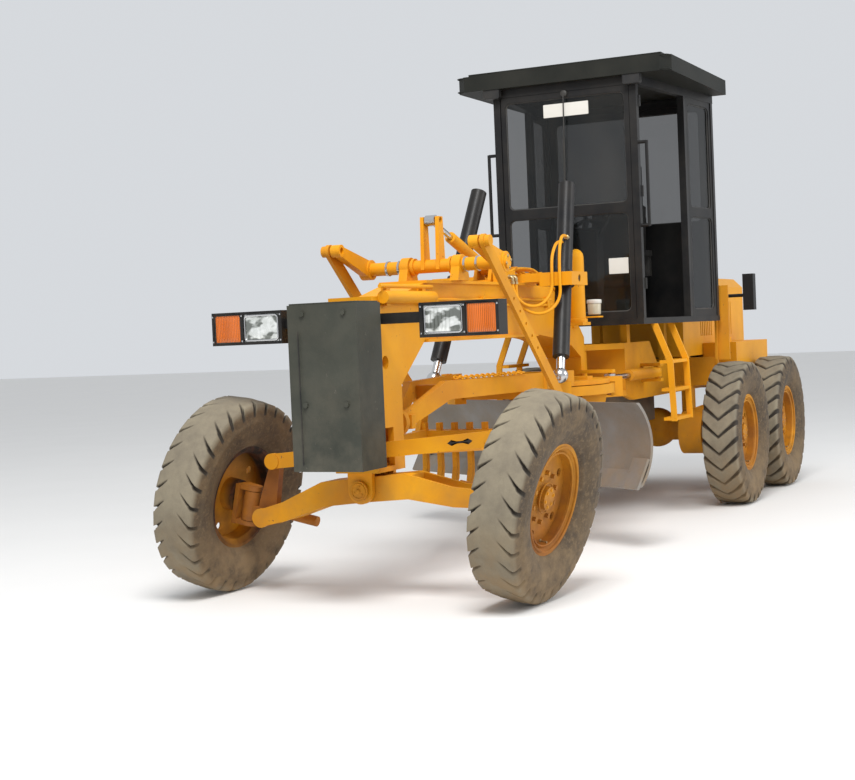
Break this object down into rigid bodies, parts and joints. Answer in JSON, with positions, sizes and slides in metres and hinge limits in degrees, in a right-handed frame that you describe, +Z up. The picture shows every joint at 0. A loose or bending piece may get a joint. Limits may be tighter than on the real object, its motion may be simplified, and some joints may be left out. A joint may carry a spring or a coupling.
{
  "type": "motor grader",
  "caption": "Motor grader with an articulated frame, leaning front wheels, a turning blade on a drawbar, a tine frame under the neck and an open-sided operator's cab.",
  "frame": {"origin": "on the ground under the middle of the machine's bounding box", "axes": "+X to the nose, +Y to the machine's left, +Z up"},
  "size_m": [8.4535, 2.8393, 3.8499],
  "materials": {
    "yellow_paint": "gloss",
    "dusty_paint": "matt",
    "black_paint": "satin",
    "olive_paint": "satin",
    "worn_steel": "worn",
    "rod_chrome": "polished",
    "cast_dark": "rough",
    "tyre_rubber": "matt",
    "cab_window": "clear",
    "lamp_glass": "clear",
    "amber_lens": "clear",
    "hose_rubber": "satin",
    "seat_cover": "matt",
    "black_plastic": "matt"
  },
  "bodies": {
    "rear_body": {"rear_frame": "yellow_paint", "bulkhead": "yellow_paint", "tandem_cases": "dusty_paint", "transmission": "cast_dark", "engine_block": "cast_dark", "hood": "yellow_paint", "rear_grille": "black_paint", "side_tanks": "yellow_paint", "cab_frame": "black_paint", "cab_panels": "black_paint", "cab_glass": "cab_window", "cab_roof": "olive_paint", "seat": "seat_cover", "console": "black_plastic", "cab_steps": "yellow_paint"},
    "front_body": {"front_frame": "yellow_paint", "nose_box": "olive_paint", "lamp_housings": "black_plastic", "headlamps": "lamp_glass", "indicators": "amber_lens", "neck_brackets": "yellow_paint", "neck_hoses": "hose_rubber", "front_axle": "yellow_paint"},
    "drawbar": {"drawbar": "dusty_paint"},
    "circle": {"circle_ring": "dusty_paint", "blade_arms": "dusty_paint"},
    "moldboard": {"moldboard": "worn_steel", "cutting_edges": "worn_steel"},
    "cross_tube": {"cross_tube": "yellow_paint"},
    "scarifier_links": {"scarifier_links": "yellow_paint"},
    "scarifier_barrel": {"scarifier_barrel": "yellow_paint"},
    "scarifier_rod": {"scarifier_rod": "rod_chrome"},
    "scarifier": {"scarifier": "dusty_paint"},
    "lean_bar": {"lean_bar": "yellow_paint"},
    "yoke_left": {"lean_yoke_left": "yellow_paint"},
    "knuckle_left": {"knuckle_left": "dusty_paint"},
    "steer_rod_left": {"steer_rod_left": "rod_chrome"},
    "front_wheel_left": {"front_rim_left": "yellow_paint", "front_tyre_left": "tyre_rubber"},
    "lift_barrel_left": {"lift_barrel_left": "black_paint"},
    "lift_rod_left": {"lift_rod_left": "rod_chrome"},
    "swing_barrel_left": {"swing_barrel_left": "yellow_paint"},
    "swing_rod_left": {"swing_rod_left": "rod_chrome"},
    "yoke_right": {"lean_yoke_right": "yellow_paint"},
    "knuckle_right": {"knuckle_right": "dusty_paint"},
    "steer_rod_right": {"steer_rod_right": "rod_chrome"},
    "front_wheel_right": {"front_rim_right": "yellow_paint", "front_tyre_right": "tyre_rubber"},
    "lift_barrel_right": {"lift_barrel_right": "black_paint"},
    "lift_rod_right": {"lift_rod_right": "rod_chrome"},
    "swing_barrel_right": {"swing_barrel_right": "yellow_paint"},
    "swing_rod_right": {"swing_rod_right": "rod_chrome"},
    "wheel_mid_left": {"rim_mid_left": "yellow_paint", "tyre_mid_left": "tyre_rubber"},
    "wheel_mid_right": {"rim_mid_right": "yellow_paint", "tyre_mid_right": "tyre_rubber"},
    "wheel_rear_left": {"rim_rear_left": "yellow_paint", "tyre_rear_left": "tyre_rubber"},
    "wheel_rear_right": {"rim_rear_right": "yellow_paint", "tyre_rear_right": "tyre_rubber"}
  },
  "joints": [
    {"name": "articulation", "type": "hinge", "parent": "rear_body", "child": "front_body", "pos_m": [-0.11, 0, 1.27], "axis": [0, 0, 1], "range_deg": [-20, 20]},
    {"name": "swing_foot_left", "type": "hinge", "parent": "rear_body", "child": "swing_barrel_left", "pos_m": [-0.9, 0.47, 1.225], "axis": [0, 0, 1], "range_deg": [-4.67, 4.67]},
    {"name": "swing_stroke_left", "type": "slide", "parent": "swing_barrel_left", "child": "swing_rod_left", "axis": [0.9977, -0.0672, 0], "range_m": [-0.14824, 0.14824]},
    {"name": "swing_foot_right", "type": "hinge", "parent": "rear_body", "child": "swing_barrel_right", "pos_m": [-0.9, -0.47, 1.225], "axis": [0, 0, 1], "range_deg": [-4.67, 4.67]},
    {"name": "swing_stroke_right", "type": "slide", "parent": "swing_barrel_right", "child": "swing_rod_right", "axis": [0.9977, 0.0672, 0], "range_m": [-0.14824, 0.14824]},
    {"name": "lean_left", "type": "hinge", "parent": "front_body", "child": "yoke_left", "pos_m": [3.55, 0.77712, 0.63941], "axis": [1, 0, 0], "range_deg": [-4, 28]},
    {"name": "lean_right", "type": "hinge", "parent": "front_body", "child": "yoke_right", "pos_m": [3.55, -0.77712, 0.50552], "axis": [1, 0, 0], "range_deg": [-5, 29]},
    {"name": "lean_bar_pin", "type": "hinge", "parent": "yoke_left", "child": "lean_bar", "pos_m": [3.55, 0.85405, 1.00133], "axis": [1, 0, 0], "range_deg": [-29, 5]},
    {"name": "steer_left", "type": "hinge", "parent": "yoke_left", "child": "knuckle_left", "pos_m": [3.55, 0.92384, 0.60822], "axis": [0, 0.2079, 0.9781], "range_deg": [-27, 33]},
    {"name": "steer_right", "type": "hinge", "parent": "yoke_right", "child": "knuckle_right", "pos_m": [3.55, -0.92384, 0.5367], "axis": [0, 0.2079, 0.9781], "range_deg": [-28, 34]},
    {"name": "steer_stroke_left", "type": "slide", "parent": "yoke_left", "child": "steer_rod_left", "axis": [0, 0.9781, -0.2079], "range_m": [-0.09731, 0.08035]},
    {"name": "front_spin_left", "type": "hinge", "parent": "knuckle_left", "child": "front_wheel_left", "pos_m": [3.559, 1.10849, 0.65076], "axis": [0.0523, 0.9768, -0.2076], "continuous": true},
    {"name": "steer_stroke_right", "type": "slide", "parent": "yoke_right", "child": "steer_rod_right", "axis": [0, 0.9781, -0.2079], "range_m": [-0.09549, 0.07886]},
    {"name": "front_spin_right", "type": "hinge", "parent": "knuckle_right", "child": "front_wheel_right", "pos_m": [3.541, -1.07522, 0.65067], "axis": [0.0523, 0.9768, -0.2076], "continuous": true},
    {"name": "spin_mid_left", "type": "hinge", "parent": "rear_body", "child": "wheel_mid_left", "pos_m": [-1.6, 0.98, 0.64], "axis": [0, 1, 0], "continuous": true},
    {"name": "spin_mid_right", "type": "hinge", "parent": "rear_body", "child": "wheel_mid_right", "pos_m": [-1.6, -0.98, 0.64], "axis": [0, 1, 0], "continuous": true},
    {"name": "spin_rear_left", "type": "hinge", "parent": "rear_body", "child": "wheel_rear_left", "pos_m": [-3.14, 0.98, 0.64], "axis": [0, 1, 0], "continuous": true},
    {"name": "spin_rear_right", "type": "hinge", "parent": "rear_body", "child": "wheel_rear_right", "pos_m": [-3.14, -0.98, 0.64], "axis": [0, 1, 0], "continuous": true},
    {"name": "drawbar_lift", "type": "hinge", "parent": "front_body", "child": "drawbar", "pos_m": [3.22, 0, 1.08], "axis": [0, 1, 0], "range_deg": [-8, 3]},
    {"name": "lift_trunnion_left", "type": "hinge", "parent": "front_body", "child": "lift_barrel_left", "pos_m": [1.22, 0.442, 2.012], "axis": [0, 1, 0], "range_deg": [-2.99, 7.48]},
    {"name": "lift_stroke_left", "type": "slide", "parent": "lift_barrel_left", "child": "lift_rod_left", "axis": [0.4188, 0.0888, -0.9037], "range_m": [-0.0812, 0.21153]},
    {"name": "lift_trunnion_right", "type": "hinge", "parent": "front_body", "child": "lift_barrel_right", "pos_m": [1.22, -0.442, 2.012], "axis": [0, 1, 0], "range_deg": [-2.99, 7.48]},
    {"name": "lift_stroke_right", "type": "slide", "parent": "lift_barrel_right", "child": "lift_rod_right", "axis": [0.4188, -0.0888, -0.9037], "range_m": [-0.0812, 0.21153]},
    {"name": "circle_turn", "type": "hinge", "parent": "drawbar", "child": "circle", "pos_m": [0.83, 0, 1.13], "axis": [0, 0, -1], "range_deg": [-70, 10]},
    {"name": "blade_shift", "type": "slide", "parent": "circle", "child": "moldboard", "axis": [0.5, 0.866, 0], "range_m": [-0.1, 0.5]},
    {"name": "scarifier_lift", "type": "hinge", "parent": "front_body", "child": "scarifier", "pos_m": [3.29, 0, 0.925], "axis": [0, 1, 0], "range_deg": [-15, 0]},
    {"name": "tube_turn", "type": "hinge", "parent": "front_body", "child": "cross_tube", "pos_m": [2.55, 0, 2.107], "axis": [0, 1, 0], "range_deg": [-0.5, 54.52]},
    {"name": "link_swing", "type": "hinge", "parent": "cross_tube", "child": "scarifier_links", "pos_m": [2.97295, 0, 2.22828], "axis": [0, 1, 0], "range_deg": [-55.17, 0.5]},
    {"name": "ram_foot", "type": "hinge", "parent": "front_body", "child": "scarifier_barrel", "pos_m": [1.65, 0, 2.105], "axis": [0, 1, 0], "range_deg": [-0.5, 9.64]},
    {"name": "ram_stroke", "type": "slide", "parent": "scarifier_barrel", "child": "scarifier_rod", "axis": [0.9448, 0, 0.3275], "range_m": [-0.003, 0.23666]}
  ],
  "couplings": [
    {"joint": "swing_foot_left", "follows": "articulation", "ratio": 0.20872},
    {"joint": "swing_stroke_left", "follows": "articulation", "m_per_rad": -0.41322},
    {"joint": "swing_foot_right", "follows": "articulation", "ratio": 0.20872},
    {"joint": "swing_stroke_right", "follows": "articulation", "m_per_rad": 0.41322},
    {"joint": "lean_right", "follows": "lean_left", "ratio": 1},
    {"joint": "lean_bar_pin", "follows": "lean_left", "ratio": -1},
    {"joint": "steer_right", "follows": "steer_left", "ratio": 1},
    {"joint": "steer_stroke_left", "follows": "steer_left", "m_per_rad": -0.16201},
    {"joint": "steer_stroke_right", "follows": "steer_left", "m_per_rad": -0.15885},
    {"joint": "lift_trunnion_left", "follows": "drawbar_lift", "ratio": -0.89779},
    {"joint": "lift_stroke_left", "follows": "drawbar_lift", "m_per_rad": -1.4935},
    {"joint": "lift_trunnion_right", "follows": "drawbar_lift", "ratio": -0.89779},
    {"joint": "lift_stroke_right", "follows": "drawbar_lift", "m_per_rad": -1.4935},
    {"joint": "tube_turn", "follows": "scarifier_lift", "ratio": -3.6011},
    {"joint": "link_swing", "follows": "scarifier_lift", "ratio": 3.6447},
    {"joint": "ram_foot", "follows": "scarifier_lift", "ratio": -0.60913},
    {"joint": "ram_stroke", "follows": "scarifier_lift", "m_per_rad": -0.89251}
  ]
}
